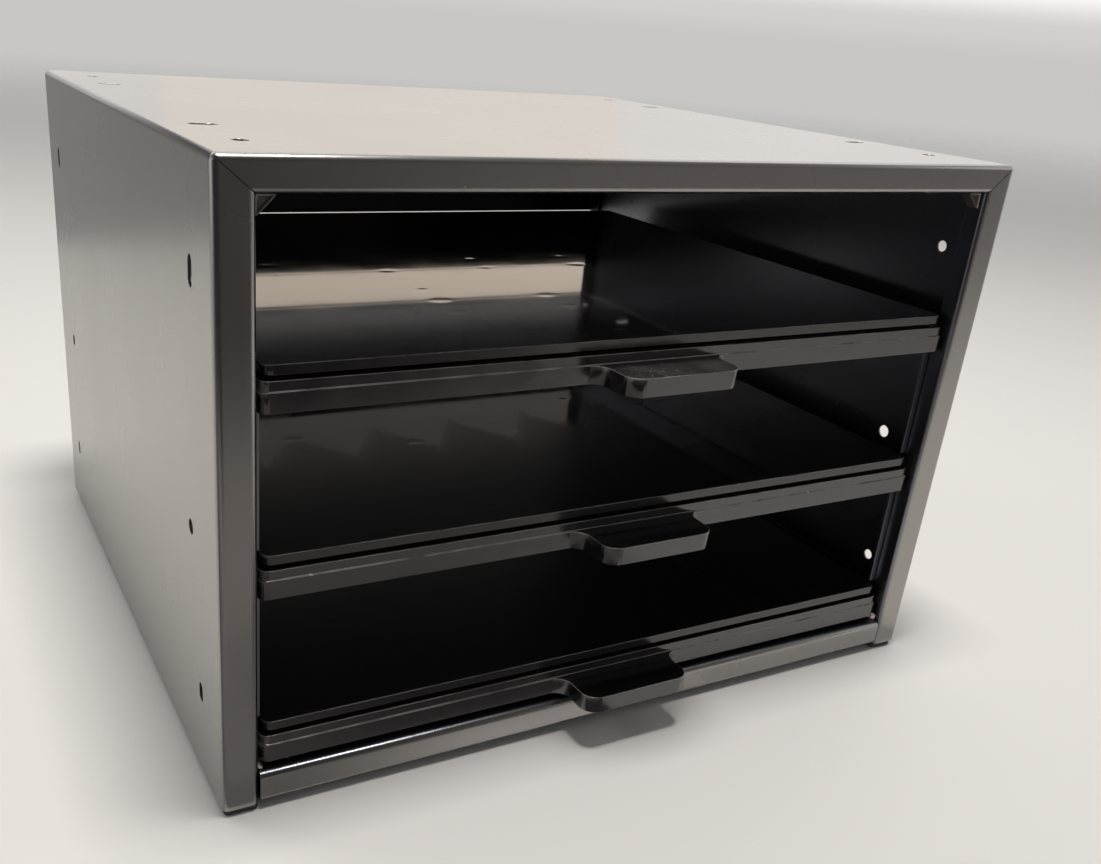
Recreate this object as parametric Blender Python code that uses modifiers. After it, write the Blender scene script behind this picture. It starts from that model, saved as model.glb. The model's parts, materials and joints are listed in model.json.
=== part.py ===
"""Small parts drawer organizer: a bent sheet-steel cabinet with three pull-out black trays.

Units are metres, +Z is up and the open front faces -Y. The origin lies on the table, under the
middle of the whole object with its pull tabs. Inside the cabinet, x is measured from the middle,
y backwards from the front face and z upwards from the lower edge of the sheet.
"""
import math

import bmesh
import bpy
from mathutils import Matrix, Vector

# Cabinet body
CABINET_WIDTH = 0.385
CABINET_DEPTH = 0.350
CABINET_HEIGHT = 0.260
SHEET = 0.0012
BEND_RADIUS = 0.0028
BEND_SEGMENTS = 4
SEAM_GAP = 0.0003

# Front frame
JAMB_WIDTH = 0.0155
HEADER_HEIGHT = 0.0132
RETURN_DEPTH = 0.010
MITRE_GAP = 0.0004
MITRE_SCORE = 0.0005
SILL_HEIGHT = 0.014
SILL_LIFT = 0.0005
SILL_JOINT = 0.0005
PAN_FLANGE = 0.009
TOP_WELD_LEG = 0.007
WELD_TOE = 0.0005
WELD_SETBACK = 0.0032
WELD_DEPTH = 0.006

# Rear rail
RAIL_INSET = 0.001
RAIL_FLANGE = 0.012
RAIL_HEIGHT = 0.0568
REAR_SLOT = 0.023

# Bolt holes in the walls and the top
HOLE_WIDTH = 0.0055
WALL_SLOT_LENGTH = 0.012
WALL_HOLE_DIAMETER = 0.0065
WALL_SHORT_SLOT_LENGTH = 0.0085
UPPER_HOLE_DROP = 0.044
MIDDLE_HOLE_HEIGHT = 0.112
LOWER_HOLE_HEIGHT = 0.040
OUTER_HOLE_MARGIN = 0.030
MIDDLE_HOLE_MARGIN = 0.039
TOP_HOLE_DIAMETER = 0.0065
TOP_SLOT_LENGTH = 0.012
TOP_HOLE_SIDE_MARGIN = 0.020
TOP_HOLE_MARGIN = 0.035
TOP_SLOT_MARGIN = 0.084
HOLE_SEGMENTS = 20

# Feet
FOOT_HEIGHT = 0.003
FOOT_INSET = 0.0012
FOOT_LENGTH = 0.018
FOOT_CORNER = 0.002
PLUG_HEIGHT = 0.008
PAD_WIDTH = 0.016
PAD_LENGTH = 0.022
PAD_MARGIN = 0.006
PAD_SETBACK = 0.018

# Trays
TOP_BAY_HEIGHT = 0.0777
TRAY_LIFT = 0.0028
TRAY_SIDE_CLEARANCE = 0.0015
TRAY_SETBACK = 0.0035
REAR_SPACE = 0.048
TRAY_CORNER = 0.004
FRAME_LOWER = 0.0082
FRAME_UPPER = 0.0041
FRAME_STEP = 0.0006
FRAME_RAIL = 0.014
FRAME_FLOOR = 0.0018
GROOVE_HEIGHT = 0.0015
GROOVE_DEPTH = 0.004
DECK_RIM = 0.0042
DECK_INSET = 0.002
DECK_SKIN = 0.0025
RIB_WIDTH = 0.0016
RIB_DEPTH = 0.005
RIB_END_GAP = 0.0006
LENGTHWISE_RIB_PITCH = 0.056
LENGTHWISE_RIB_SHIFT = -0.0105
CROSSWISE_RIB_PITCH = 0.020
CROSSWISE_RIB_SHIFT = 0.012
TAB_WIDTH = 0.058
TAB_REACH = 0.018
TAB_ROOT_RADIUS = 0.007
TAB_CORNER_RADIUS = 0.0075
ARC_SEGMENTS = 6

# Deck screws
SCREW_SHANK = 0.003
SCREW_HEAD = 0.0056
SCREW_HEAD_HEIGHT = 0.0022
COUNTERBORE = 0.006
PILOT_COVER = 0.0014
SCREW_TIP_GAP = 0.0005
SCREW_CHAMFER = 0.0007
SCREW_END_MARGIN = 0.040
SCREWS_PER_SIDE = 2
SCREW_SEGMENTS = 12

# Runners
RUNNER_BEARING = 0.012
RUNNER_LEG = 0.012
STOP_WIDTH = 0.009
STOP_HEIGHT = 0.008
STOP_GAP = 0.0005

# Guides behind the jambs
GUIDE_OVERLAP = 0.0035
GUIDE_CLEARANCE = 0.0006

# Places that follow from the sizes above
SILL_TOP = SILL_LIFT + SILL_HEIGHT
HEADER_LOW = CABINET_HEIGHT - HEADER_HEIGHT
MOUTH_HALF = CABINET_WIDTH / 2 - JAMB_WIDTH
WALL_INSIDE = CABINET_WIDTH / 2 - SHEET - SEAM_GAP
FRAME_HEIGHT = FRAME_LOWER + FRAME_UPPER
DECK_LOW = FRAME_HEIGHT + GROOVE_HEIGHT
TRAY_HEIGHT = DECK_LOW + DECK_RIM
TRAY_HALF = MOUTH_HALF - TRAY_SIDE_CLEARANCE
TRAY_DEPTH = CABINET_DEPTH - TRAY_SETBACK - REAR_SPACE
PLINTH_LOW = FRAME_HEIGHT + SEAM_GAP
PLINTH_INSET = DECK_INSET + GROOVE_DEPTH
SCREW_COLUMN = TRAY_HALF - (PLINTH_INSET + FRAME_RAIL) / 2
SCREW_SPACING = (TRAY_DEPTH - 2 * SCREW_END_MARGIN) / (SCREWS_PER_SIDE - 1)
PILOT_HIGH = TRAY_HEIGHT - PILOT_COVER
LOWEST_TRAY = SILL_TOP + TRAY_LIFT
HIGHEST_TRAY = HEADER_LOW - TOP_BAY_HEIGHT
TRAY_LEVELS = {
    "bottom": LOWEST_TRAY,
    "middle": (LOWEST_TRAY + HIGHEST_TRAY) / 2,
    "top": HIGHEST_TRAY,
}
GUIDE_FRONT = RETURN_DEPTH + SEAM_GAP
RUNNER_FRONT = GUIDE_FRONT + SHEET + SEAM_GAP
SIDES = {"left": -1, "right": 1}
CUT_MARGIN = 0.002
MERGE = 0.000001
FOLD_ANGLE = math.radians(60)
SHARP_ANGLE = math.radians(35)
BEND_WEIGHT = "bevel_weight_edge"


def clear_scene():
    for obj in list(bpy.data.objects):
        bpy.data.objects.remove(obj, do_unlink=True)


def new_collection(name):
    collection = bpy.data.collections.new(name)
    bpy.context.scene.collection.children.link(collection)
    return collection


def new_material(name, colour, roughness, metallic=0.0):
    material = bpy.data.materials.new(name)
    material.use_nodes = True
    shader = material.node_tree.nodes["Principled BSDF"]
    shader.inputs["Base Color"].default_value = (*colour, 1.0)
    shader.inputs["Roughness"].default_value = roughness
    shader.inputs["Metallic"].default_value = metallic
    material.diffuse_color = (*colour, 1.0)
    return material


def place(name, mesh, material, parent, location=(0, 0, 0)):
    """Adds one named sub-part to the object's collection."""
    obj = bpy.data.objects.new(name, mesh)
    PARTS.objects.link(obj)
    if not mesh.materials:
        mesh.materials.append(material)
    obj.parent = parent
    obj.location = location
    return obj


def place_empty(name, location, parent=None):
    empty = bpy.data.objects.new(name, None)
    PARTS.objects.link(empty)
    empty.location = location
    empty.parent = parent
    return empty


def baked(obj):
    """Gives an object's evaluated mesh, welded and smooth round its curves, and removes the object."""
    graph = bpy.context.evaluated_depsgraph_get()
    mesh = bpy.data.meshes.new_from_object(obj.evaluated_get(graph))
    bpy.data.objects.remove(obj, do_unlink=True)
    bm = bmesh.new()
    bm.from_mesh(mesh)
    bmesh.ops.remove_doubles(bm, verts=bm.verts, dist=MERGE)
    bmesh.ops.recalc_face_normals(bm, faces=bm.faces)
    bm.to_mesh(mesh)
    bm.free()
    mesh.shade_smooth()
    mesh.set_sharp_from_angle(angle=SHARP_ANGLE)
    return mesh


def mesh_from(bm, name):
    mesh = bpy.data.meshes.new(name)
    bm.to_mesh(mesh)
    bm.free()
    return mesh


def work_object(name, mesh):
    obj = bpy.data.objects.new(name, mesh)
    CUTTERS.objects.link(obj)
    obj.hide_render = True
    obj.display_type = "WIRE"
    return obj


def combined(mesh, steps):
    """Joins and cuts a mesh with others, in order, and gives the resulting mesh."""
    work = work_object("work", mesh)
    tools = []
    for operation, tool_mesh in steps:
        tool = work_object("tool", tool_mesh)
        tools.append(tool)
        boolean = work.modifiers.new(operation.lower(), "BOOLEAN")
        boolean.operation = operation
        boolean.object = tool
    result = baked(work)
    for tool in tools:
        bpy.data.objects.remove(tool, do_unlink=True)
    return result


def rounded(corners):
    """Gives the points of a closed outline whose corners (x, y, radius) are turned into arcs."""
    points = []
    for index, (x, y, radius) in enumerate(corners):
        corner = Vector((x, y))
        before = (Vector(corners[index - 1][:2]) - corner).normalized()
        after = (Vector(corners[(index + 1) % len(corners)][:2]) - corner).normalized()
        half_angle = before.angle(after) / 2
        centre = corner + (before + after).normalized() * radius / math.sin(half_angle)
        start = corner + before * radius / math.tan(half_angle) - centre
        sweep = start.angle_signed(corner + after * radius / math.tan(half_angle) - centre)
        for step in range(ARC_SEGMENTS + 1):
            turned = start.copy()
            turned.rotate(Matrix.Rotation(-sweep * step / ARC_SEGMENTS, 2))
            points.append(centre + turned)
    return points


def rectangle(half_width, front, rear, radius):
    return rounded([(-half_width, front, radius), (half_width, front, radius),
                    (half_width, rear, radius), (-half_width, rear, radius)])


def prism(points, low, high):
    """Gives the mesh of a flat outline raised from one height to another."""
    curve = bpy.data.curves.new("outline", "CURVE")
    curve.dimensions = "2D"
    curve.fill_mode = "BOTH"
    curve.extrude = (high - low) / 2
    spline = curve.splines.new("POLY")
    spline.points.add(len(points) - 1)
    for spline_point, point in zip(spline.points, points):
        spline_point.co = (point[0], point[1], 0, 1)
    spline.use_cyclic_u = True
    holder = bpy.data.objects.new("outline", curve)
    CUTTERS.objects.link(holder)
    mesh = baked(holder)
    mesh.transform(Matrix.Translation((0, 0, (low + high) / 2)))
    return mesh


def add_box(bm, low, high):
    size = Vector(high) - Vector(low)
    middle = (Vector(high) + Vector(low)) / 2
    bmesh.ops.create_cube(bm, size=1, matrix=Matrix.Translation(middle) @ Matrix.Diagonal((*size, 1)))


def add_pin(bm, axis, centre, diameter, length, slot_axis=None, slot_length=0):
    """Adds a cylinder along X or Z, drawn out along slot_axis to cut a slot with round ends."""
    turn = Matrix.Rotation(math.pi / 2, 4, "Y") if axis == "X" else Matrix.Identity(4)
    half_step = Matrix.Rotation(math.pi / HOLE_SEGMENTS, 4, "Z")
    made = bmesh.ops.create_cone(bm, cap_ends=True, segments=HOLE_SEGMENTS, radius1=diameter / 2,
                                 radius2=diameter / 2, depth=length, matrix=turn @ half_step)
    for vert in made["verts"]:
        if slot_axis is not None:
            vert.co[slot_axis] += math.copysign((slot_length - diameter) / 2, vert.co[slot_axis])
        vert.co += Vector(centre)


def new_sheet():
    bm = bmesh.new()
    bm.edges.layers.float.new(BEND_WEIGHT)
    return bm


def fold(bm, edges, step):
    """Extends a sheet from some of its edges by one flat step, and gives the new outer edges."""
    grown = bmesh.ops.extrude_edge_only(bm, edges=edges)["geom"]
    verts = {item for item in grown if isinstance(item, bmesh.types.BMVert)}
    bmesh.ops.translate(bm, verts=list(verts), vec=step)
    return [item for item in grown
            if isinstance(item, bmesh.types.BMEdge) and verts.issuperset(item.verts)]


def chain(bm, points):
    verts = [bm.verts.new(point) for point in points]
    return [bm.edges.new(pair) for pair in zip(verts, verts[1:])]


def middle_edge(edges):
    return [edge for edge in edges if abs(sum(vert.co.x for vert in edge.verts)) < MERGE]


def bent_sheet(bm, outward, sharp=()):
    """Gives the mesh of an open surface turned into sheet metal with round bends.

    The surface is the sheet's outer face, and its largest flat faces outward.
    """
    weights = bm.edges.layers.float[BEND_WEIGHT]
    for edge in bm.edges:
        folded = len(edge.link_faces) == 2 and edge.calc_face_angle() > FOLD_ANGLE
        edge[weights] = 1.0 if folded and edge not in sharp else 0.0
    bmesh.ops.recalc_face_normals(bm, faces=bm.faces)
    if max(bm.faces, key=lambda face: face.calc_area()).normal.dot(Vector(outward)) < 0:
        bmesh.ops.reverse_faces(bm, faces=bm.faces)
    sheet = work_object("sheet", mesh_from(bm, "sheet"))
    bends = sheet.modifiers.new("bends", "BEVEL")
    bends.limit_method = "WEIGHT"
    bends.width = BEND_RADIUS
    bends.segments = BEND_SEGMENTS
    gauge = sheet.modifiers.new("gauge", "SOLIDIFY")
    gauge.thickness = SHEET
    gauge.offset = -1
    gauge.use_even_offset = True
    gauge.use_quality_normals = True
    return baked(sheet)


def shell_cutters():
    """Bolt holes through the walls and the top, and the mitre seams of the front frame.

    The left wall has slots near both its edges. The right wall has round holes near its front edge only.
    """
    bm = bmesh.new()
    half = CABINET_WIDTH / 2
    through = 2 * (SHEET + CUT_MARGIN)
    wall_holes = (
        (OUTER_HOLE_MARGIN, CABINET_HEIGHT - UPPER_HOLE_DROP, HOLE_WIDTH, WALL_SLOT_LENGTH),
        (MIDDLE_HOLE_MARGIN, MIDDLE_HOLE_HEIGHT, WALL_HOLE_DIAMETER, WALL_HOLE_DIAMETER),
        (OUTER_HOLE_MARGIN, LOWER_HOLE_HEIGHT, HOLE_WIDTH, WALL_SHORT_SLOT_LENGTH),
    )
    for margin, height, width, length in wall_holes:
        for y in (margin, CABINET_DEPTH - margin):
            add_pin(bm, "X", (-half, y, height), width, through, 2, length)
        add_pin(bm, "X", (half, margin, height), width, through)
    top_holes = (
        (TOP_HOLE_MARGIN, TOP_HOLE_DIAMETER, TOP_HOLE_DIAMETER),
        (TOP_SLOT_MARGIN, HOLE_WIDTH, TOP_SLOT_LENGTH),
    )
    for side in SIDES.values():
        x = side * (half - TOP_HOLE_SIDE_MARGIN)
        for margin, width, length in top_holes:
            for y in (margin, CABINET_DEPTH - margin):
                add_pin(bm, "Z", (x, y, CABINET_HEIGHT), width, through, 0, length)
        add_mitre(bm, side)
    return mesh_from(bm, "shell_cutters")


def add_mitre(bm, side):
    """One mitre seam: a slit through flange and return, and a score on to the outer corner."""
    run = Vector((JAMB_WIDTH, 0, HEADER_HEIGHT))
    inner = Vector((MOUTH_HALF, 0, HEADER_LOW))
    bend_share = BEND_RADIUS / min(JAMB_WIDTH, HEADER_HEIGHT)
    tilt = Matrix.Rotation(-math.atan2(HEADER_HEIGHT, JAMB_WIDTH), 4, "Y")
    before = set(bm.verts)
    add_box(bm, (-CUT_MARGIN, -CUT_MARGIN, -MITRE_GAP / 2),
            (run.length * (1 - bend_share), RETURN_DEPTH + CUT_MARGIN, MITRE_GAP / 2))
    score_start = run.length * (1 - bend_share) + MERGE
    add_box(bm, (score_start, -CUT_MARGIN, -MITRE_GAP / 2), (run.length, MITRE_SCORE, MITRE_GAP / 2))
    for vert in set(bm.verts) - before:
        vert.co = inner + tilt @ vert.co
        vert.co.x *= side
    if side < 0:
        mirrored = [face for face in bm.faces if not before.intersection(face.verts)]
        bmesh.ops.reverse_faces(bm, faces=mirrored)


def build_shell(parent, material):
    """Top and walls in one wrapped sheet, with front flanges folded in and back."""
    half = CABINET_WIDTH / 2
    bm = new_sheet()
    rear = chain(bm, [(-half, CABINET_DEPTH, 0), (-half, CABINET_DEPTH, CABINET_HEIGHT),
                      (half, CABINET_DEPTH, CABINET_HEIGHT), (half, CABINET_DEPTH, 0)])
    front = fold(bm, rear, (0, -CABINET_DEPTH, 0))
    inner = fold(bm, front, (0, 0, 0))
    for vert in {vert for edge in inner for vert in edge.verts}:
        vert.co.x -= math.copysign(JAMB_WIDTH, vert.co.x)
        vert.co.z -= HEADER_HEIGHT if vert.co.z > 0 else 0
    fold(bm, inner, (0, RETURN_DEPTH, 0))
    corner_verts = {vert for vert in bm.verts
                    if abs(abs(vert.co.x) - MOUTH_HALF) < MERGE and vert.co.z > 0}
    return_corners = [edge for edge in bm.edges if corner_verts.issuperset(edge.verts)
                      and abs(edge.verts[0].co.y - edge.verts[1].co.y) > MERGE]
    sheet = bent_sheet(bm, (0, 0, 1), sharp=return_corners)
    place("cabinet_shell", combined(sheet, [("DIFFERENCE", shell_cutters())]), material, parent)


def build_base_pan(parent, material):
    """Floor with upturned sides, and a front tongue folded up into the sill between the jambs."""
    front = RETURN_DEPTH + SEAM_GAP
    rear = CABINET_DEPTH - RAIL_INSET
    sill_half = MOUTH_HALF - SILL_JOINT
    bm = new_sheet()
    stations = (-WALL_INSIDE, -sill_half, sill_half, WALL_INSIDE)
    front_edges = chain(bm, [(x, front, SILL_LIFT) for x in stations])
    fold(bm, front_edges, (0, rear - front, 0))
    sides = [edge for edge in bm.edges
             if all(abs(abs(vert.co.x) - WALL_INSIDE) < MERGE for vert in edge.verts)]
    fold(bm, sides, (0, 0, PAN_FLANGE))
    tongue = fold(bm, middle_edge(front_edges), (0, -front, 0))
    sill = fold(bm, tongue, (0, 0, SILL_HEIGHT))
    fold(bm, sill, (0, RETURN_DEPTH, 0))
    place("base_pan", bent_sheet(bm, (0, 0, -1)), material, parent)


def build_rear_rail(parent, material):
    """Rail across the open back, welded to the walls, a slot below the top."""
    bm = new_sheet()
    low = CABINET_HEIGHT - SHEET - REAR_SLOT - RAIL_HEIGHT
    plate = chain(bm, [(x, CABINET_DEPTH - RAIL_INSET, low) for x in (-WALL_INSIDE, WALL_INSIDE)])
    fold(bm, plate, (0, 0, RAIL_HEIGHT))
    sides = [edge for edge in bm.edges if abs(edge.verts[0].co.x - edge.verts[1].co.x) < MERGE]
    fold(bm, sides, (0, -RAIL_FLANGE, 0))
    place("rear_rail", bent_sheet(bm, (0, 1, 0)), material, parent)


def build_runner(name, side, level, parent, material):
    """Angle on a side wall that carries one edge of a tray, with an upturned stop behind the tray."""
    rear = TRAY_SETBACK + TRAY_DEPTH + STOP_GAP + max(BEND_RADIUS, SHEET)
    inner = TRAY_HALF - RUNNER_BEARING
    bm = new_sheet()
    profile = [(WALL_INSIDE, RUNNER_LEG), (WALL_INSIDE, 0), (inner + STOP_WIDTH, 0), (inner, 0)]
    section = chain(bm, [(side * x, RUNNER_FRONT, z) for x, z in profile])
    ends = fold(bm, section, (0, rear - RUNNER_FRONT, 0))
    stop = [edge for edge in ends if any(abs(abs(vert.co.x) - inner) < MERGE for vert in edge.verts)]
    fold(bm, stop, (0, 0, STOP_HEIGHT))
    place(name, bent_sheet(bm, (0, 0, -1)), material, parent, (0, 0, level - SEAM_GAP - SHEET))


def build_guide(name, side, lower_tray, upper_tray, parent, material):
    """Upright strip behind a jamb, between two trays, that keeps a pulled-out tray from tipping."""
    low = TRAY_LEVELS[lower_tray] + TRAY_HEIGHT + GUIDE_CLEARANCE
    high = TRAY_LEVELS[upper_tray] - GUIDE_CLEARANCE
    inner, outer = sorted((side * (MOUTH_HALF - GUIDE_OVERLAP), side * WALL_INSIDE))
    bm = bmesh.new()
    add_box(bm, (inner, GUIDE_FRONT, low), (outer, GUIDE_FRONT + SHEET, high))
    place(name, mesh_from(bm, "guide"), material, parent)


def build_corner_weld(name, side, upright, parent, material):
    """Painted weld in an inner corner of the front frame, with a slanting face."""
    lower_leg = TRAY_SIDE_CLEARANCE + TRAY_LIFT - WELD_TOE - 4 * SEAM_GAP
    leg = TOP_WELD_LEG if upright < 0 else lower_leg
    mesh = prism([(0, 0), (leg, 0), (leg, WELD_TOE), (WELD_TOE, leg), (0, leg)], 0, WELD_DEPTH)
    quarter_turns = {(-1, 1): 0, (1, 1): 3, (1, -1): 2, (-1, -1): 1}[(side, upright)]
    mesh.transform(Matrix.Rotation(math.pi / 2, 4, "X"))
    mesh.transform(Matrix.Rotation(quarter_turns * math.pi / 2, 4, "Y"))
    corner_x = side * (MOUTH_HALF - SEAM_GAP)
    corner_z = HEADER_LOW - SEAM_GAP if upright < 0 else SILL_TOP + SEAM_GAP
    place(name, mesh, material, parent, (corner_x, WELD_SETBACK + WELD_DEPTH, corner_z))


def build_front_foot(name, side, parent, material):
    """Rubber foot plugged into the open lower end of a jamb."""
    outer = CABINET_WIDTH / 2
    sole = rounded([(side * (outer - JAMB_WIDTH + x), y, FOOT_CORNER) for x, y in (
        (0, FOOT_INSET), (JAMB_WIDTH - FOOT_INSET, FOOT_INSET),
        (JAMB_WIDTH - FOOT_INSET, FOOT_INSET + FOOT_LENGTH), (0, FOOT_INSET + FOOT_LENGTH))])
    wall = SHEET + SEAM_GAP
    plug = rounded([(side * (outer - x), y, FOOT_CORNER) for x, y in (
        (wall, wall), (JAMB_WIDTH - wall, wall), (JAMB_WIDTH - wall, RETURN_DEPTH), (wall, RETURN_DEPTH))])
    mesh = combined(prism(sole, -FOOT_HEIGHT, -SEAM_GAP),
                    [("UNION", prism(plug, -FOOT_HEIGHT / 2, PLUG_HEIGHT))])
    place(name, mesh, material, parent)


def build_rear_foot(name, side, parent, material):
    """Rubber pad under a rear corner of the floor."""
    outer = side * (WALL_INSIDE - PAD_MARGIN)
    inner = outer - side * PAD_WIDTH
    rear = CABINET_DEPTH - PAD_SETBACK
    pad = rounded([(outer, rear, FOOT_CORNER), (inner, rear, FOOT_CORNER),
                   (inner, rear - PAD_LENGTH, FOOT_CORNER), (outer, rear - PAD_LENGTH, FOOT_CORNER)])
    place(name, prism(pad, -FOOT_HEIGHT, SILL_LIFT - SEAM_GAP), material, parent)


def screw_places():
    return [(side * SCREW_COLUMN, SCREW_END_MARGIN + row * SCREW_SPACING)
            for side in SIDES.values() for row in range(SCREWS_PER_SIDE)]


def screw_holes(screw_diameter, low, high):
    """Round cutters at every screw, a seam wider than the screw all round."""
    bm = bmesh.new()
    radius = screw_diameter / 2 + SEAM_GAP
    for x, y in screw_places():
        bmesh.ops.create_cone(bm, cap_ends=True, segments=SCREW_SEGMENTS, radius1=radius, radius2=radius,
                              depth=high - low, matrix=Matrix.Translation((x, y, (low + high) / 2)))
    return mesh_from(bm, "screw_holes")


def frame_mesh():
    """Tray frame: a lower layer with a floor and the pull tab, and an upper layer set back by a fine step."""
    tab_front = -(TAB_REACH + TRAY_SETBACK)
    lower = rounded([
        (-TRAY_HALF, 0, TRAY_CORNER), (-TAB_WIDTH / 2, 0, TAB_ROOT_RADIUS),
        (-TAB_WIDTH / 2, tab_front, TAB_CORNER_RADIUS), (TAB_WIDTH / 2, tab_front, TAB_CORNER_RADIUS),
        (TAB_WIDTH / 2, 0, TAB_ROOT_RADIUS), (TRAY_HALF, 0, TRAY_CORNER),
        (TRAY_HALF, TRAY_DEPTH, TRAY_CORNER), (-TRAY_HALF, TRAY_DEPTH, TRAY_CORNER)])
    upper = rectangle(TRAY_HALF - FRAME_STEP, FRAME_STEP, TRAY_DEPTH - FRAME_STEP, TRAY_CORNER)
    opening = rectangle(TRAY_HALF - FRAME_RAIL, FRAME_RAIL, TRAY_DEPTH - FRAME_RAIL, TRAY_CORNER)
    return combined(prism(lower, 0, FRAME_LOWER), [
        ("UNION", prism(upper, FRAME_LOWER / 2, FRAME_HEIGHT)),
        ("DIFFERENCE", prism(opening, FRAME_FLOOR, FRAME_HEIGHT + CUT_MARGIN)),
        ("DIFFERENCE", screw_holes(SCREW_SHANK, 0, FRAME_HEIGHT + CUT_MARGIN)),
        ("DIFFERENCE", screw_holes(SCREW_HEAD, -CUT_MARGIN, COUNTERBORE)),
    ])


def rib_places(reach, pitch, shift):
    """Distances from the tray's middle at which ribs fit within a reach to either side."""
    first = math.ceil((RIB_WIDTH - reach - shift) / pitch)
    last = math.floor((reach - RIB_WIDTH - shift) / pitch)
    return [shift + index * pitch for index in range(first, last + 1)]


def rib_mesh(lengthwise):
    """Parallel ribs under the deck, which hang inside the frame."""
    bm = bmesh.new()
    half_width = TRAY_HALF - FRAME_RAIL - RIB_END_GAP
    half_length = TRAY_DEPTH / 2 - FRAME_RAIL - RIB_END_GAP
    middle = TRAY_DEPTH / 2
    low = TRAY_HEIGHT - DECK_SKIN - RIB_DEPTH
    high = TRAY_HEIGHT - DECK_SKIN / 2
    if lengthwise:
        for x in rib_places(half_width, LENGTHWISE_RIB_PITCH, LENGTHWISE_RIB_SHIFT):
            add_box(bm, (x - RIB_WIDTH / 2, middle - half_length, low),
                    (x + RIB_WIDTH / 2, middle + half_length, high))
    else:
        for y in rib_places(half_length, CROSSWISE_RIB_PITCH, CROSSWISE_RIB_SHIFT):
            add_box(bm, (-half_width, middle + y - RIB_WIDTH / 2, low),
                    (half_width, middle + y + RIB_WIDTH / 2, high))
    return mesh_from(bm, "ribs")


def deck_mesh():
    """Flat gloss deck: a thin skin with a deep rim, a plinth that leaves a groove, and ribs below."""
    def inset_outline(inset):
        return rectangle(TRAY_HALF - inset, inset, TRAY_DEPTH - inset, TRAY_CORNER)
    ribs = combined(rib_mesh(True), [("UNION", rib_mesh(False))])
    return combined(prism(inset_outline(DECK_INSET), DECK_LOW, TRAY_HEIGHT), [
        ("UNION", prism(inset_outline(PLINTH_INSET), PLINTH_LOW, DECK_LOW + DECK_RIM / 2)),
        ("DIFFERENCE", prism(inset_outline(FRAME_RAIL), -CUT_MARGIN, TRAY_HEIGHT - DECK_SKIN)),
        ("DIFFERENCE", screw_holes(SCREW_SHANK, 0, PILOT_HIGH)),
        ("UNION", ribs),
    ])


def screw_mesh():
    """Turned pan-head screw, driven up through the frame into the deck's rim."""
    head_top = COUNTERBORE - SEAM_GAP
    head_low = head_top - SCREW_HEAD_HEIGHT
    tip = PILOT_HIGH - SCREW_TIP_GAP
    shank, head = SCREW_SHANK / 2, SCREW_HEAD / 2
    profile = [(0, tip), (shank - SCREW_CHAMFER, tip), (shank, tip - SCREW_CHAMFER), (shank, head_top),
               (head, head_top), (head, head_low + SCREW_CHAMFER), (head - SCREW_CHAMFER, head_low),
               (0, head_low)]
    bm = bmesh.new()
    chain(bm, [(radius, 0, z) for radius, z in profile])
    screw = work_object("screw", mesh_from(bm, "screw"))
    turn = screw.modifiers.new("turn", "SCREW")
    turn.steps = turn.render_steps = SCREW_SEGMENTS
    turn.use_merge_vertices = True
    turn.merge_threshold = MERGE
    return baked(screw)


def build_cabinet(cabinet, steel, rubber):
    build_shell(cabinet, steel)
    build_base_pan(cabinet, steel)
    build_rear_rail(cabinet, steel)
    for side_name, side in SIDES.items():
        for tray_name, level in TRAY_LEVELS.items():
            build_runner(f"runner_{tray_name}_{side_name}", side, level, cabinet, steel)
        build_guide(f"guide_upper_{side_name}", side, "middle", "top", cabinet, steel)
        build_guide(f"guide_lower_{side_name}", side, "bottom", "middle", cabinet, steel)
        build_corner_weld(f"corner_weld_top_{side_name}", side, -1, cabinet, steel)
        build_corner_weld(f"corner_weld_bottom_{side_name}", side, 1, cabinet, steel)
        build_front_foot(f"foot_front_{side_name}", side, cabinet, rubber)
        build_rear_foot(f"foot_rear_{side_name}", side, cabinet, rubber)


def build_trays(cabinet, gloss, satin, zinc):
    frame, deck, screw = frame_mesh(), deck_mesh(), screw_mesh()
    for tray_name, level in TRAY_LEVELS.items():
        slide = place_empty(f"slide_{tray_name}", (0, TRAY_SETBACK, level), cabinet)
        place(f"tray_frame_{tray_name}", frame, satin, slide)
        place(f"tray_deck_{tray_name}", deck, gloss, slide)
        for number, (x, y) in enumerate(screw_places(), 1):
            place(f"deck_screw_{tray_name}_{number}", screw, zinc, slide, (x, y, 0))


clear_scene()
PARTS = new_collection("drawer_organizer")
CUTTERS = new_collection("cutters")
root = place_empty("cabinet", (0, (TAB_REACH - CABINET_DEPTH) / 2, FOOT_HEIGHT))
build_cabinet(
    root,
    steel=new_material("pewter_paint", (0.34, 0.325, 0.30), 0.30, 0.95),
    rubber=new_material("black_rubber", (0.02, 0.02, 0.02), 0.85),
)
build_trays(
    root,
    gloss=new_material("gloss_black_plastic", (0.008, 0.008, 0.010), 0.08),
    satin=new_material("satin_black_plastic", (0.022, 0.022, 0.024), 0.38),
    zinc=new_material("zinc_steel", (0.55, 0.55, 0.54), 0.35, 1.0),
)
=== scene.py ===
"""Looks of the small parts drawer organizer: finishes, softened edges, light and camera."""
import json
import math

import bmesh
import bpy
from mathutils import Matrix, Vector, noise

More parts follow.
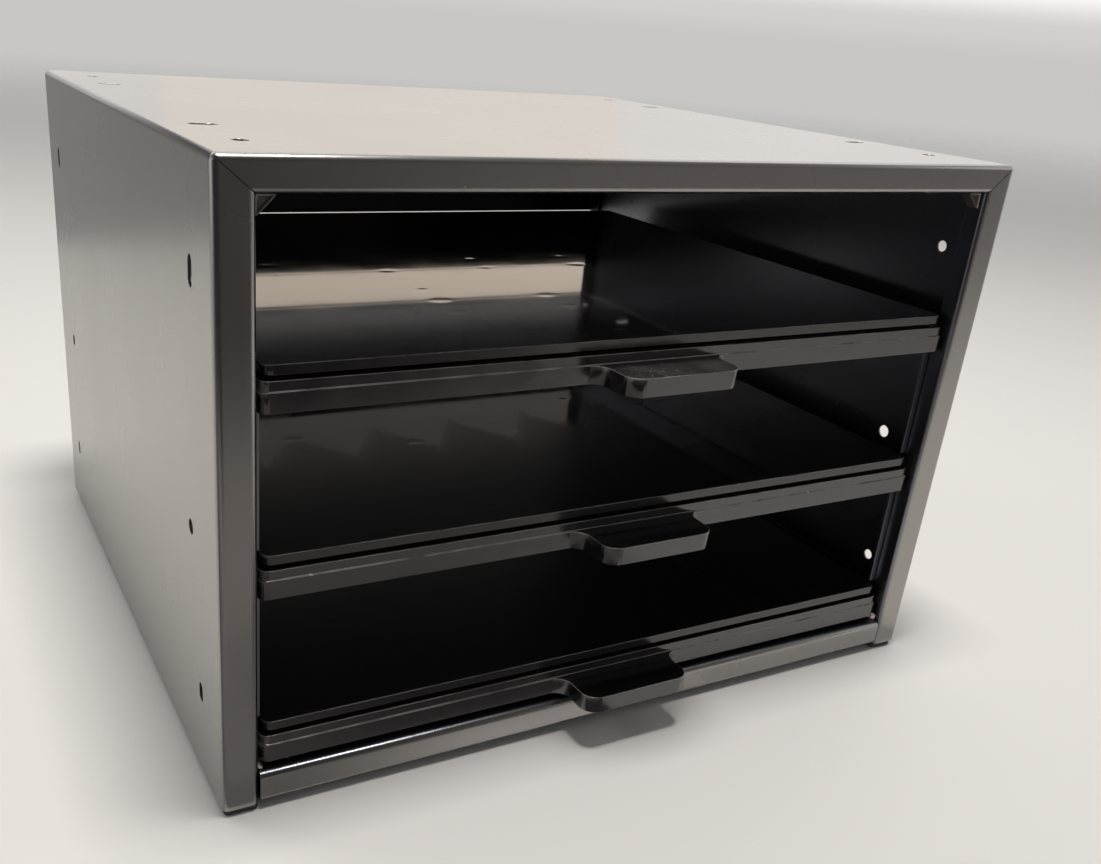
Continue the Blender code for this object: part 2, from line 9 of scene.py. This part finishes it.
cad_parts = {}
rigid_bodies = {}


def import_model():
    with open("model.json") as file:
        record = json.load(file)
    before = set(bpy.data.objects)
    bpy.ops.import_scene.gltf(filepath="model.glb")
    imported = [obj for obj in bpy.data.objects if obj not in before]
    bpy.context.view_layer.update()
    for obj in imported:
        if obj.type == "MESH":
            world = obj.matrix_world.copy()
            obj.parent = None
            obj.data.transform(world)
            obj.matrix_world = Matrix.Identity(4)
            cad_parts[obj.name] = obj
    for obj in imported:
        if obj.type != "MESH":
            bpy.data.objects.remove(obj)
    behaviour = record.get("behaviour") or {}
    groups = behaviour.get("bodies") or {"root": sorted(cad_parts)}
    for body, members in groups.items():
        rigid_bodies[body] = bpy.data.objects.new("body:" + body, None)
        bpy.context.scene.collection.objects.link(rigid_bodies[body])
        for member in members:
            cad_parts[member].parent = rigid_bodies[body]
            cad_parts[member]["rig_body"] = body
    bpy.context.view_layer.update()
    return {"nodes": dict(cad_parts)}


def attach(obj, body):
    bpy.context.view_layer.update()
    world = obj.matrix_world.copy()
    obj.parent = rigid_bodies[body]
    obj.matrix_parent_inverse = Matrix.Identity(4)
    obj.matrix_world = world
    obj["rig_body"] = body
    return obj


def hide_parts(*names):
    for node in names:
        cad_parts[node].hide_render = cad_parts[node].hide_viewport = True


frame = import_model()
NODES = frame["nodes"]

# Camera at the photograph's viewpoint
CAMERA_PLACE = (-0.2878, -0.5205, 0.3075)
CAMERA_TURN = (66.855, -4.236, -27.573)
CAMERA_LENS = 35.82
CAMERA_SENSOR = 36.0
CAMERA_SHIFT = (0.0708, 0.0504)

# Softened edges
PAINT_EDGE = 0.00025
MOULDED_EDGE = 0.00032
EDGE_SEGMENTS = 2
EDGE_ANGLE = math.radians(40)
WELD_DISTANCE = 0.00001
FLAT_SHARE = 0.99999
SMOOTH_SHARE = math.cos(math.radians(50))
MITRE_CORNER = (0.1765, -0.1630, 0.2490)

# Welds
WELD_FRONT = -0.1628
WELD_RIM = 0.0009
WELD_HOLLOW = 0.0012
BEAD_CUTS = 3
BEAD_ROUNDS = 4
BEAD_LUMP = 0.0002
BEAD_LUMP_SIZE = 0.002

# Cabinet faces, for the painted shade inside and the darkest painted shade at its rear
INNER_SIDE = (0.1917, 0.1921)
INNER_TOP = (0.2622, 0.2626)
INNER_FRONT = (-0.1656, -0.1652)
INNER_REAR = (0.1822, 0.1826)
REAR_SHADE_SPAN = (0.160, 0.172)

# Sink marks over the crossings of the deck's ribs
RIB_PITCH = (0.056, 0.020)
RIB_START = (-0.0110, -0.0053)
SINK_SIZE = (0.0042, 0.0028)
SINK_DEPTH = 0.00007
TRAY_PITCH = 0.0759

# Dull bands under the trays, along the ribs and wider towards the front
BAND_START = -0.0165
BAND_PLACES = (0.035, 0.120)
BAND_WIDTHS = (0.023, -0.016)
BAND_EDGE = 0.028

# Tray frames' gloss, and the top tray's pull tab
TRAY_IOR = 1.75
FRAME_GLOSS = 0.7
TAB_DUST = (-0.012, -0.175, 0.1803)
TAB_HAZE_RISE = (0.1788, 0.1798)
TAB_HAZE_FRONT = (-0.1695, -0.1655)

# Finishes: tones in pairs from dark to light, and the span that a noise mostly fills
NOISE_SPAN = (0.3, 0.7)
OUTER_COAT = ((0.335, 0.323, 0.306), (0.390, 0.377, 0.358))
# Painted shade: a darker, bluer coat for the inside faces, and a near black tone at the rear inside
INSIDE_SHADE_COAT = ((0.195, 0.200, 0.220), (0.235, 0.240, 0.262))
REAR_SHADE_TONE = (0.045, 0.045, 0.050)
NIB_TONE = (0.72, 0.69, 0.65)
COAT_ROUGHNESS = (0.27, 0.285)
ORANGE_PEEL = 0.000001
WELD_TONES = ((0.10, 0.095, 0.09), (0.18, 0.17, 0.165))
# Painted highlight tones for the welds' front rims and for the lower right bead
RIM_HIGHLIGHT_TONES = ((0.42, 0.41, 0.39), (0.58, 0.56, 0.54))
BEAD_HIGHLIGHT_TONES = ((0.56, 0.48, 0.46), (0.78, 0.70, 0.67))
WELD_GRAIN = 0.00003
FACE_TONE = (0.004, 0.004, 0.005)
DECK_SATIN = (0.006, 0.0058, 0.0063)
FRAME_SATIN = (0.008, 0.0077, 0.0083)
DECK_POLISH = 0.045
FRAME_POLISH = 0.13
HAZE_TONE = (0.034, 0.033, 0.033)
HAZE_ROUGHNESS = 0.34
# Painted highlight with wear along the trays' upper edges, and the white of its nicks and glints
EDGE_HIGHLIGHT_AND_WEAR_TONE = (0.22, 0.214, 0.214)
WORN_ROUGHNESS = 0.45
NICK_AND_GLINT_TONE = (0.74, 0.73, 0.71)
DUST_TONE = (0.80, 0.79, 0.77)
SATIN_ROUGHNESS = (0.15, 0.20)
UNDER_ROUGHNESS = (0.07, 0.42)
RUBBER_TONES = ((0.036, 0.034, 0.033), (0.056, 0.053, 0.051))
RUBBER_GRAIN = 0.00004
ZINC_TONES = ((0.46, 0.46, 0.45), (0.62, 0.62, 0.60))
PAPER_TONES = ((0.74, 0.73, 0.715), (0.77, 0.76, 0.745))

# Stage and light
FLOOR_RADIUS = 12.0
FLOOR_NEAR = 1.2
FLOOR_FAR = 6.0
ROOM_LEVELS = ((0.0, 0.58), (0.025, 0.64), (0.06, 1.1), (0.14, 1.2), (0.36, 1.05), (0.52, 0.3), (1.0, 0.15))
ROOM_COLOUR = (1.0, 0.983, 0.960, 1.0)
CARD_LIFT = 0.004
LAMP_COLOUR = (1.0, 0.965, 0.925)


class Nodes:
    """One material's node tree, with short calls for the nodes that the finishes share."""

    def __init__(self, name):
        self.material = bpy.data.materials.new(name)
        self.material.use_nodes = True
        self.tree = self.material.node_tree
        self.shader = self.tree.nodes["Principled BSDF"]
        coordinates = self.add("ShaderNodeTexCoord")
        self.place = coordinates.outputs["Object"]
        self.facing = self.parts(coordinates.outputs["Normal"])
        self.spot = self.parts(self.place)

    def add(self, kind, **settings):
        node = self.tree.nodes.new(kind)
        for name, value in settings.items():
            setattr(node, name, value)
        return node

    def put(self, socket, value):
        if isinstance(value, bpy.types.NodeSocket):
            self.tree.links.new(value, socket)
        else:
            socket.default_value = value

    def shade(self, **values):
        for name, value in values.items():
            self.put(self.shader.inputs[name.replace("_", " ").title().replace("Ior", "IOR")], value)

    def parts(self, vector):
        split = self.add("ShaderNodeSeparateXYZ")
        self.put(split.inputs[0], vector)
        return split.outputs

    def math(self, operation, *values):
        node = self.add("ShaderNodeMath", operation=operation)
        for socket, value in zip(node.inputs, values):
            self.put(socket, value)
        return node.outputs[0]

    def product(self, *values):
        result = values[0]
        for value in values[1:]:
            result = self.math("MULTIPLY", result, value)
        return result

    def distance(self, point):
        node = self.add("ShaderNodeVectorMath", operation="DISTANCE")
        self.put(node.inputs[0], self.place)
        self.put(node.inputs[1], point)
        return node.outputs["Value"]

    def noise(self, size, detail=2.0):
        """Noise whose lumps are about one size, in metres, across."""
        node = self.add("ShaderNodeTexNoise")
        self.put(node.inputs["Vector"], self.place)
        node.inputs["Scale"].default_value = 1 / size
        node.inputs["Detail"].default_value = detail
        return node.outputs["Fac"]

    def specks(self, size, radius, share):
        """Round dots, one in each cell of a size, for a share of the cells."""
        cells = self.add("ShaderNodeTexVoronoi")
        self.put(cells.inputs["Vector"], self.place)
        cells.inputs["Scale"].default_value = 1 / size
        dot = self.remap(cells.outputs["Distance"], 0.5 * radius / size, radius / size, 1.0, 0.0)
        draw = self.parts(cells.outputs["Color"])["X"]
        return self.product(dot, self.math("GREATER_THAN", draw, 1 - share))

    def remap(self, value, low, high, to_low=0.0, to_high=1.0):
        node = self.add("ShaderNodeMapRange", interpolation_type="SMOOTHSTEP")
        for socket, number in zip(node.inputs, (value, low, high, to_low, to_high)):
            self.put(socket, number)
        return node.outputs[0]

    def blend(self, share, first, second):
        node = self.add("ShaderNodeMix", data_type="RGBA")
        self.put(node.inputs["Factor"], share)
        for socket, value in ((node.inputs[6], first), (node.inputs[7], second)):
            self.put(socket, value if isinstance(value, bpy.types.NodeSocket) else (*value, 1.0))
        return node.outputs[2]

    def mixed(self, share, first, second):
        node = self.add("ShaderNodeMix")
        for socket, value in zip((node.inputs[0], node.inputs[2], node.inputs[3]), (share, first, second)):
            self.put(socket, value)
        return node.outputs[0]

    def bump(self, height, depth):
        """Turns a height from 0 to 1 into a relief of one depth, in metres."""
        node = self.add("ShaderNodeBump")
        node.inputs["Distance"].default_value = depth
        self.put(node.inputs["Height"], height)
        return node.outputs[0]


def toned(colour, share):
    return [share * part for part in colour]


def inside_shade_share(paint):
    """Is 1 on the faces inside the cabinet, where the coat gets painted shade, and 0 outside."""
    side = paint.remap(paint.math("ABSOLUTE", paint.spot["X"]), *INNER_SIDE, 1.0, 0.0)
    top = paint.remap(paint.spot["Z"], *INNER_TOP, 1.0, 0.0)
    front = paint.remap(paint.spot["Y"], *INNER_FRONT)
    rear = paint.remap(paint.spot["Y"], *INNER_REAR, 1.0, 0.0)
    return paint.product(side, top, front, rear)


def paint_material():
    """Satin metallic powder coat: fine flakes, a slight orange peel, a few nibs, and painted shade inside, darkest
    at the rear.
    """
    paint = Nodes("pewter_powder_coat")
    flakes = paint.product(paint.noise(0.0004, 1.0), 0.97)
    share = paint.math("MULTIPLY_ADD", paint.noise(0.07, 3.0), 0.03, flakes)
    outer = paint.blend(share, *OUTER_COAT)
    # Painted shade inside the cabinet, turning near black towards its rear
    shaded_inside = paint.blend(paint.remap(paint.spot["Y"], *REAR_SHADE_SPAN), paint.blend(share, *INSIDE_SHADE_COAT), REAR_SHADE_TONE)
    nibs = paint.specks(0.011, 0.0004, 0.35)
    coat = paint.blend(inside_shade_share(paint), outer, shaded_inside)
    paint.shade(
        base_color=paint.blend(nibs, coat, NIB_TONE),
        metallic=paint.math("SUBTRACT", 1.0, nibs),
        roughness=paint.remap(paint.noise(0.09, 2.0), *NOISE_SPAN, *COAT_ROUGHNESS),
        normal=paint.bump(paint.noise(0.0012, 2.0), ORANGE_PEEL),
    )
    return paint.material


def weld_material():
    """Painted weld metal with a painted highlight on its front rims; the lower right bead carries the palest
    painted highlight.
    """
    weld = Nodes("painted_weld")
    right = weld.remap(weld.spot["X"], -0.01, 0.01)
    low = weld.remap(weld.spot["Z"], 0.12, 0.14, 1.0, 0.0)
    grain = weld.noise(0.0012, 3.0)
    # Painted highlight on the front rims of the welds, and the palest painted highlight on the lower right bead
    rim_highlight = weld.remap(weld.spot["Y"], WELD_FRONT + 0.0003, WELD_FRONT + 0.0008, 1.0, 0.0)
    plain = weld.blend(rim_highlight, weld.blend(grain, *WELD_TONES), weld.blend(grain, *RIM_HIGHLIGHT_TONES))
    bead_highlight = weld.blend(grain, *BEAD_HIGHLIGHT_TONES)
    weld.shade(
        base_color=weld.blend(weld.product(right, low), plain, bead_highlight),
        metallic=weld.product(weld.math("SUBTRACT", 1.0, low), 0.7),
        roughness=weld.remap(grain, *NOISE_SPAN, 0.35, 0.5),
        normal=weld.bump(weld.noise(0.0007, 2.0), WELD_GRAIN),
    )
    return weld.material


def sink_marks(deck):
    """Shallow dents in the moulded top, over the crossings of the ribs and along a few ribs."""
    offsets, cells = [], []
    for axis, pitch, start in zip("XY", RIB_PITCH, RIB_START):
        run = deck.math("SUBTRACT", deck.spot[axis], start)
        offsets.append(deck.math("WRAP", run, pitch / 2, -pitch / 2))
        cells.append(deck.math("ROUND", deck.math("DIVIDE", run, pitch)))
    layer = deck.math("FLOOR", deck.math("DIVIDE", deck.spot["Z"], TRAY_PITCH))
    squares = [deck.math("POWER", deck.math("DIVIDE", run, size), 2.0) for run, size in zip(offsets, SINK_SIZE)]
    dent = deck.math("EXPONENT", deck.math("MULTIPLY", deck.math("ADD", *squares), -1.0))
    across = deck.math("EXPONENT", deck.math("MULTIPLY", squares[1], -2.0))
    along = deck.math("EXPONENT", deck.math("MULTIPLY", squares[0], -4.0))
    strength = []
    for column in (cells[0], 7.0):
        place = deck.add("ShaderNodeCombineXYZ")
        for socket, value in zip(place.inputs, (column, cells[1], layer)):
            deck.put(socket, value)
        draw = deck.add("ShaderNodeTexWhiteNoise", noise_dimensions="3D")
        deck.put(draw.inputs["Vector"], place.outputs[0])
        strength.append(deck.math("POWER", draw.outputs["Value"], 1.5))
    lines = deck.math("ADD", deck.product(across, strength[1], 0.05), deck.product(along, 0.04))
    marks = deck.math("ADD", deck.product(dent, strength[0]), lines)
    waves = deck.math("MULTIPLY_ADD", deck.noise(0.045, 2.0), 0.25, deck.math("MULTIPLY", marks, -1.0))
    return deck.bump(waves, SINK_DEPTH)


def band_share(black):
    """Is 1 in the dull bands along the underside, which widen and join towards the front."""
    half = RIB_PITCH[0] / 2
    run = black.math("WRAP", black.math("SUBTRACT", black.spot["X"], BAND_START), half, -half)
    width = black.remap(black.spot["Y"], *BAND_PLACES, *BAND_WIDTHS)
    return black.remap(black.math("ABSOLUTE", run), width, black.math("ADD", width, BAND_EDGE), 1.0, 0.0)


def tray_material(name, polish, satin_tone, dusty):
    """Black moulding: polished above, satin at the edges, a painted highlight with wear and nicks along the upper
    ones, dull bands below.
    """
    black = Nodes(name)
    rise = black.facing["Z"]
    upper = black.remap(rise, 0.5, 0.95)
    edge = black.product(black.remap(rise, 0.05, 0.3), black.remap(rise, 0.8, 0.97, 1.0, 0.0))
    # Painted highlight with wear on the upward facing edges, with white nicks and painted glints in it
    edge_highlight_and_wear = black.product(edge, black.remap(black.noise(0.02, 4.0), 0.36, 0.62, 0.35, 1.0))
    nicks_and_glints = black.product(edge, black.remap(black.noise(0.0016, 2.0), 0.70, 0.75))
    satin = black.blend(black.noise(0.012, 4.0), toned(satin_tone, 0.75), satin_tone)
    face = FACE_TONE
    satin_roughness = black.remap(black.noise(0.01, 4.0), *NOISE_SPAN, *SATIN_ROUGHNESS)
    face_roughness = black.remap(black.noise(0.03, 4.0), 0.35, 0.7, polish, polish + 0.02)
    if dusty:
        tab = black.product(upper, black.remap(black.spot["Z"], *TAB_HAZE_RISE),
                            black.remap(black.spot["Y"], *TAB_HAZE_FRONT, 1.0, 0.0))
        haze = black.product(tab, black.remap(black.noise(0.012, 5.0), *NOISE_SPAN, 0.5, 1.0))
        face = black.blend(haze, face, HAZE_TONE)
        face_roughness = black.mixed(haze, face_roughness, HAZE_ROUGHNESS)
    tone = black.blend(upper, satin, face)
    tone = black.blend(edge_highlight_and_wear, tone, EDGE_HIGHLIGHT_AND_WEAR_TONE)
    tone = black.blend(nicks_and_glints, tone, NICK_AND_GLINT_TONE)
    if dusty:
        near = black.remap(black.distance(TAB_DUST), 0.003, 0.017, 1.0, 0.0)
        cluster = black.product(near, upper, black.specks(0.0014, 0.00034, 0.55))
        stray = black.product(black.remap(rise, 0.05, 0.3), black.specks(0.006, 0.0003, 0.12))
        tone = black.blend(black.math("MAXIMUM", cluster, stray), tone, DUST_TONE)
        black.shade(ior=TRAY_IOR, specular_ior_level=FRAME_GLOSS)
    else:
        black.shade(ior=TRAY_IOR, normal=sink_marks(black))
    lower = black.remap(rise, -0.95, -0.5, 1.0, 0.0)
    under_roughness = black.mixed(band_share(black), *UNDER_ROUGHNESS)
    rough = black.mixed(lower, black.mixed(upper, satin_roughness, face_roughness), under_roughness)
    black.shade(base_color=tone, roughness=black.mixed(edge_highlight_and_wear, rough, WORN_ROUGHNESS))
    return black.material


def rubber_material():
    rubber = Nodes("black_rubber")
    rubber.shade(
        base_color=rubber.blend(rubber.noise(0.004, 3.0), *RUBBER_TONES),
        roughness=0.8,
        normal=rubber.bump(rubber.noise(0.0008, 2.0), RUBBER_GRAIN),
    )
    return rubber.material


def screw_material():
    zinc = Nodes("zinc_plate")
    zinc.shade(
        base_color=zinc.blend(zinc.noise(0.002, 3.0), *ZINC_TONES),
        metallic=1.0,
        roughness=zinc.remap(zinc.noise(0.001, 2.0), *NOISE_SPAN, 0.28, 0.42),
    )
    return zinc.material


def at_mitre(vertex):
    side, front, top = MITRE_CORNER
    return abs(vertex.co.x) > side and vertex.co.y < front and vertex.co.z > top


def round_edges(bm, width):
    """Rounds the sharp edges of a solid, apart from those in the mitred corners."""
    sharp = [edge for edge in bm.edges if len(edge.link_faces) == 2
             and edge.calc_face_angle() > EDGE_ANGLE and not any(at_mitre(end) for end in edge.verts)]
    bmesh.ops.bevel(bm, geom=sharp, offset=width, offset_type="OFFSET", segments=EDGE_SEGMENTS,
                    profile=0.5, affect="EDGES", clamp_overlap=False, loop_slide=False)


def hollow_weld(bm, width):
    """Sinks the front of an upper corner weld inside a raised rim."""
    front = [face for face in bm.faces if face.normal.y < -FLAT_SHARE]
    bmesh.ops.inset_region(bm, faces=front, thickness=WELD_RIM, depth=-WELD_HOLLOW, use_even_offset=True)
    round_edges(bm, width)


def lumpy_bead(bm, width):
    """Turns a lower corner weld into a rounded, slightly lumpy bead."""
    bmesh.ops.subdivide_edges(bm, edges=bm.edges, cuts=BEAD_CUTS, use_grid_fill=True)
    for _ in range(BEAD_ROUNDS):
        bmesh.ops.smooth_vert(bm, verts=bm.verts, factor=0.5, use_axis_x=True, use_axis_y=True, use_axis_z=True)
    bm.normal_update()
    for vertex in bm.verts:
        vertex.co += vertex.normal * BEAD_LUMP * noise.noise(vertex.co / BEAD_LUMP_SIZE)


def finished_mesh(node, form, width):
    bm = bmesh.new()
    bm.from_mesh(node.data)
    bmesh.ops.remove_doubles(bm, verts=bm.verts, dist=WELD_DISTANCE)
    form(bm, width)
    mesh = bpy.data.meshes.new(f"{node.name}_finished")
    bm.to_mesh(mesh)
    bm.free()
    set_normals(mesh)
    return mesh


def is_flat(face):
    return max(abs(part) for part in face.normal) > FLAT_SHARE


def set_normals(mesh):
    """Keeps the flats flat and lets the roundings between them shade smoothly."""
    mesh.shade_smooth()
    around = [[] for _ in mesh.vertices]
    for face in mesh.polygons:
        for vertex in face.vertices:
            around[vertex].append(face)
    normals = []
    for face in mesh.polygons:
        for vertex in face.vertices:
            near = [other for other in around[vertex] if other.normal.dot(face.normal) > SMOOTH_SHARE]
            flats = [other for other in near if is_flat(other)]
            chosen = [face] if is_flat(face) else flats or near
            normals.append(sum((other.normal for other in chosen), Vector()).normalized())
    mesh.normals_split_custom_set(normals)


def dress(prefix, material, width, form=round_edges):
    """Shows each node of a kind as a finished piece: the same solid with softened edges and its material."""
    for name, node in NODES.items():
        if name.startswith(prefix):
            mesh = finished_mesh(node, form, width)
            mesh.materials.append(material)
            piece = bpy.data.objects.new(f"{name}_finished", mesh)
            bpy.context.scene.collection.objects.link(piece)
            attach(piece, node["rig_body"])
            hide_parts(name)


def dress_all():
    paint = paint_material()
    for prefix in ("cabinet_shell", "base_pan", "rear_rail", "runner", "guide"):
        dress(prefix, paint, PAINT_EDGE)
    weld = weld_material()
    dress("corner_weld_top", weld, PAINT_EDGE, hollow_weld)
    dress("corner_weld_bottom", weld, PAINT_EDGE, lumpy_bead)
    dress("tray_deck", tray_material("polished_black", DECK_POLISH, DECK_SATIN, dusty=False), MOULDED_EDGE)
    dress("tray_frame", tray_material("satin_black", FRAME_POLISH, FRAME_SATIN, dusty=True), MOULDED_EDGE)
    dress("foot", rubber_material(), MOULDED_EDGE)
    dress("deck_screw", screw_material(), PAINT_EDGE)


def make_floor():
    """Pale paper that thins out with distance into the room behind it."""
    bpy.ops.mesh.primitive_circle_add(vertices=96, radius=FLOOR_RADIUS, fill_type="NGON")
    floor = bpy.context.object
    floor.name = "floor"
    paper = Nodes("floor_paper")
    paper.shade(
        base_color=paper.blend(paper.noise(0.5, 2.0), *PAPER_TONES),
        roughness=0.6,
    )
    clear = paper.add("ShaderNodeBsdfTransparent")
    joined = paper.add("ShaderNodeMixShader")
    paper.put(joined.inputs[0], paper.remap(paper.distance((0.0, 0.0, 0.0)), FLOOR_NEAR, FLOOR_FAR))
    paper.put(joined.inputs[1], paper.shader.outputs[0])
    paper.put(joined.inputs[2], clear.outputs[0])
    paper.put(paper.tree.nodes["Material Output"].inputs["Surface"], joined.outputs[0])
    floor.data.materials.append(paper.material)


def make_card(name, corners, colour, other=None, reach=None, shades=False):
    """Card that shows in gloss, and in diffuse light if it shades; its colour can turn along X over a reach."""
    mesh = bpy.data.meshes.new(name)
    mesh.from_pydata(corners, [], [(0, 1, 2, 3)])
    card = bpy.data.objects.new(name, mesh)
    bpy.context.scene.collection.objects.link(card)
    card.visible_camera = False
    card.visible_diffuse = shades
    card.visible_shadow = False
    card.visible_transmission = False
    face = Nodes(name)
    glow = face.blend(face.remap(face.spot["X"], *reach), colour, other) if other else (*colour, 1.0)
    face.shade(
        base_color=(0.0, 0.0, 0.0, 1.0),
        roughness=1.0,
        specular_ior_level=0.0,
        emission_color=glow,
        emission_strength=1.0,
    )
    mesh.materials.append(face.material)


def upright(left, right, depth, low, high):
    return [(left, depth, low), (right, depth, low), (right, depth, high), (left, depth, high)]


def level_sheet(left, right, front, rear):
    return [(x, y, CARD_LIFT) for x, y in ((left, front), (right, front), (right, rear), (left, rear))]


def make_cards():
    """Grey cards in front, on the floor before the object and behind it, and a warm wall and bright sky behind;
    the cards on the floor are painted shade and light of the floor, seen only in reflections.
    """
    make_card("card_front", upright(-1.6, 1.6, -0.95, 0.0, 1.8),
              (0.030, 0.024, 0.025), (0.18, 0.163, 0.16), (-0.3, 0.7), shades=True)
    # Painted shade and light on the floor before the object, seen only in reflections
    make_card("card_far", level_sheet(-2.5, 0.30, -0.95, -0.58),
              (0.022, 0.019, 0.019), (0.15, 0.138, 0.134), (0.0, 0.30))
    make_card("card_low", level_sheet(-2.5, 0.10, -0.58, -0.30),
              (0.32, 0.297, 0.285), (0.36, 0.335, 0.32), (-0.2, 0.10))
    make_card("card_near", level_sheet(-2.5, 0.0, -0.30, -0.182),
              (0.25, 0.232, 0.225), (0.09, 0.083, 0.081), (-0.18, -0.08))
    make_card("card_sill", level_sheet(-2.5, 0.0, -0.182, -0.167),
              (0.20, 0.186, 0.18), (0.62, 0.59, 0.57), (-0.17, -0.05))
    make_card("card_sill_right", level_sheet(0.06, 0.2, -0.182, -0.167), (0.42, 0.40, 0.385))
    make_card("card_rear", upright(-1.8, -0.15, 1.0, 0.0, 0.33),
              (0.27, 0.257, 0.252), (0.40, 0.385, 0.378), (-0.45, -0.25))
    make_card("card_slot", upright(-1.8, -0.15, 1.0, 0.33, 1.2), (0.05, 0.048, 0.048))
    make_card("card_bend", upright(-0.5, -0.10, 0.30, 0.266, 0.37),
              (0.26, 0.25, 0.245), (1.05, 1.02, 0.99), (-0.27, -0.185))
    make_card("card_wall", upright(0.4, 2.2, 3.0, 0.74, 1.08), (1.26, 1.065, 0.88))
    make_card("card_sky", upright(-0.6, 1.6, 1.0, 0.95, 1.8), (1.9, 1.8, 1.75))


def make_world():
    """Soft white room: dim at the horizon, bright above it and calmer overhead."""
    world = bpy.data.worlds.new("studio")
    bpy.context.scene.world = world
    world.use_nodes = True
    tree = world.node_tree
    background = tree.nodes["Background"]
    direction = tree.nodes.new("ShaderNodeTexCoord").outputs["Generated"]
    split = tree.nodes.new("ShaderNodeSeparateXYZ")
    tree.links.new(direction, split.inputs[0])
    ramp = tree.nodes.new("ShaderNodeValToRGB")
    ramp.color_ramp.interpolation = "EASE"
    tree.links.new(split.outputs["Z"], ramp.inputs[0])
    stops = ramp.color_ramp.elements
    for stop in list(stops)[1:]:
        stops.remove(stop)
    for index, (height, level) in enumerate(ROOM_LEVELS):
        stop = stops[0] if index == 0 else stops.new(height)
        stop.position = height
        stop.color = (level, level, level, 1.0)
    tree.links.new(ramp.outputs["Color"], background.inputs["Strength"])
    background.inputs["Color"].default_value = ROOM_COLOUR


def make_lamp(name, place, aim, size, power):
    data = bpy.data.lights.new(name, "AREA")
    data.shape = "SQUARE"
    data.size = size
    data.energy = power
    data.color = LAMP_COLOUR
    lamp = bpy.data.objects.new(name, data)
    bpy.context.scene.collection.objects.link(lamp)
    lamp.location = place
    lamp.rotation_euler = (Vector(aim) - Vector(place)).to_track_quat("-Z", "Y").to_euler()


def make_lamps():
    """Small soft lamp nearly overhead, and broad weak ones over the floor behind to the left and at the right."""
    make_lamp("overhead", (-0.05, -0.17, 1.6), (-0.05, -0.10, 0.1), 0.32, 17.5)
    make_lamp("floor_wash", (-1.0, 1.0, 1.3), (-0.8, 0.8, 0.0), 0.8, 7.0)
    make_lamp("right_wash", (1.1, 0.1, 1.2), (0.5, 0.0, 0.0), 0.8, 3.0)


def make_camera():
    data = bpy.data.cameras.new("camera")
    camera = bpy.data.objects.new("camera", data)
    bpy.context.scene.collection.objects.link(camera)
    camera.location = CAMERA_PLACE
    camera.rotation_euler = [math.radians(turn) for turn in CAMERA_TURN]
    data.sensor_fit = "HORIZONTAL"
    data.sensor_width = CAMERA_SENSOR
    data.lens = CAMERA_LENS
    data.shift_x, data.shift_y = CAMERA_SHIFT
    bpy.context.scene.camera = camera


bpy.context.scene.view_settings.view_transform = "Standard"
dress_all()
make_floor()
make_cards()
make_world()
make_lamps()
make_camera()
